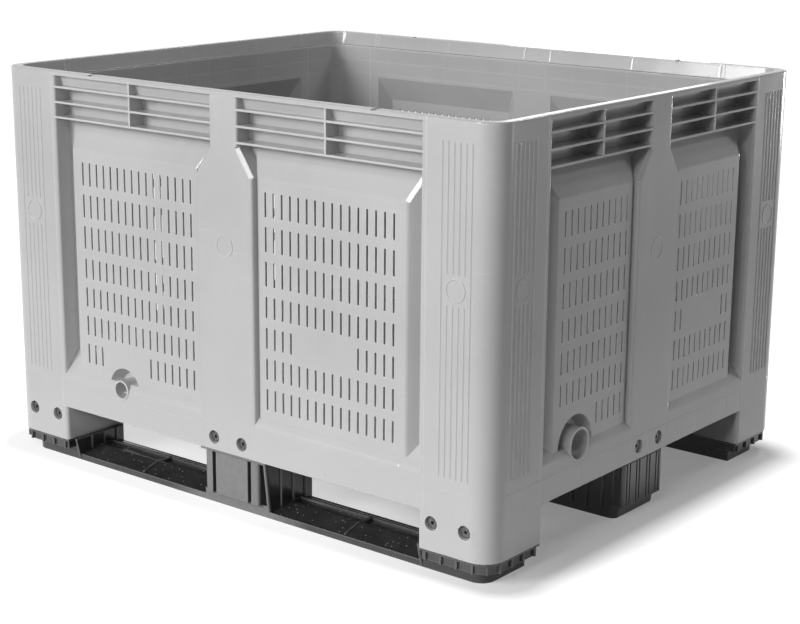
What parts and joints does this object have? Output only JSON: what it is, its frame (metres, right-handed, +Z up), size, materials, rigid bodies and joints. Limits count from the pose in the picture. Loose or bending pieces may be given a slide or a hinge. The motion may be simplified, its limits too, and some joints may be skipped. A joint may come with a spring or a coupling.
{
  "type": "plastic bulk container",
  "caption": "Open-topped slotted plastic bulk container with ribbed rim, corner posts and drain outlets, standing on screwed-on runners that forks can pass between.",
  "frame": {"origin": "on the ground under the middle of the container", "axes": "+X along the long walls, to the right when facing the front wall; +Z up; the front wall faces -Y"},
  "size_m": [1.2, 1, 0.785],
  "materials": {
    "body_plastic": "injection-moulded grey polyethylene, satin",
    "runner_plastic": "injection-moulded dark grey recycled polyethylene, slightly glossy",
    "screw_steel": "zinc-plated steel"
  },
  "bodies": {
    "root": {"floor_deck": "body_plastic", "front_wall": "body_plastic", "back_wall": "body_plastic", "left_wall": "body_plastic", "right_wall": "body_plastic", "front_left_post": "body_plastic", "front_right_post": "body_plastic", "back_left_post": "body_plastic", "back_right_post": "body_plastic", "front_runner": "runner_plastic", "centre_runner": "runner_plastic", "back_runner": "runner_plastic", "front_left_leg_screws": "screw_steel", "front_right_leg_screws": "screw_steel", "back_left_leg_screws": "screw_steel", "back_right_leg_screws": "screw_steel", "front_centre_screws": "screw_steel", "right_centre_screws": "screw_steel", "back_centre_screws": "screw_steel", "left_centre_screws": "screw_steel"}
  },
  "joints": []
}
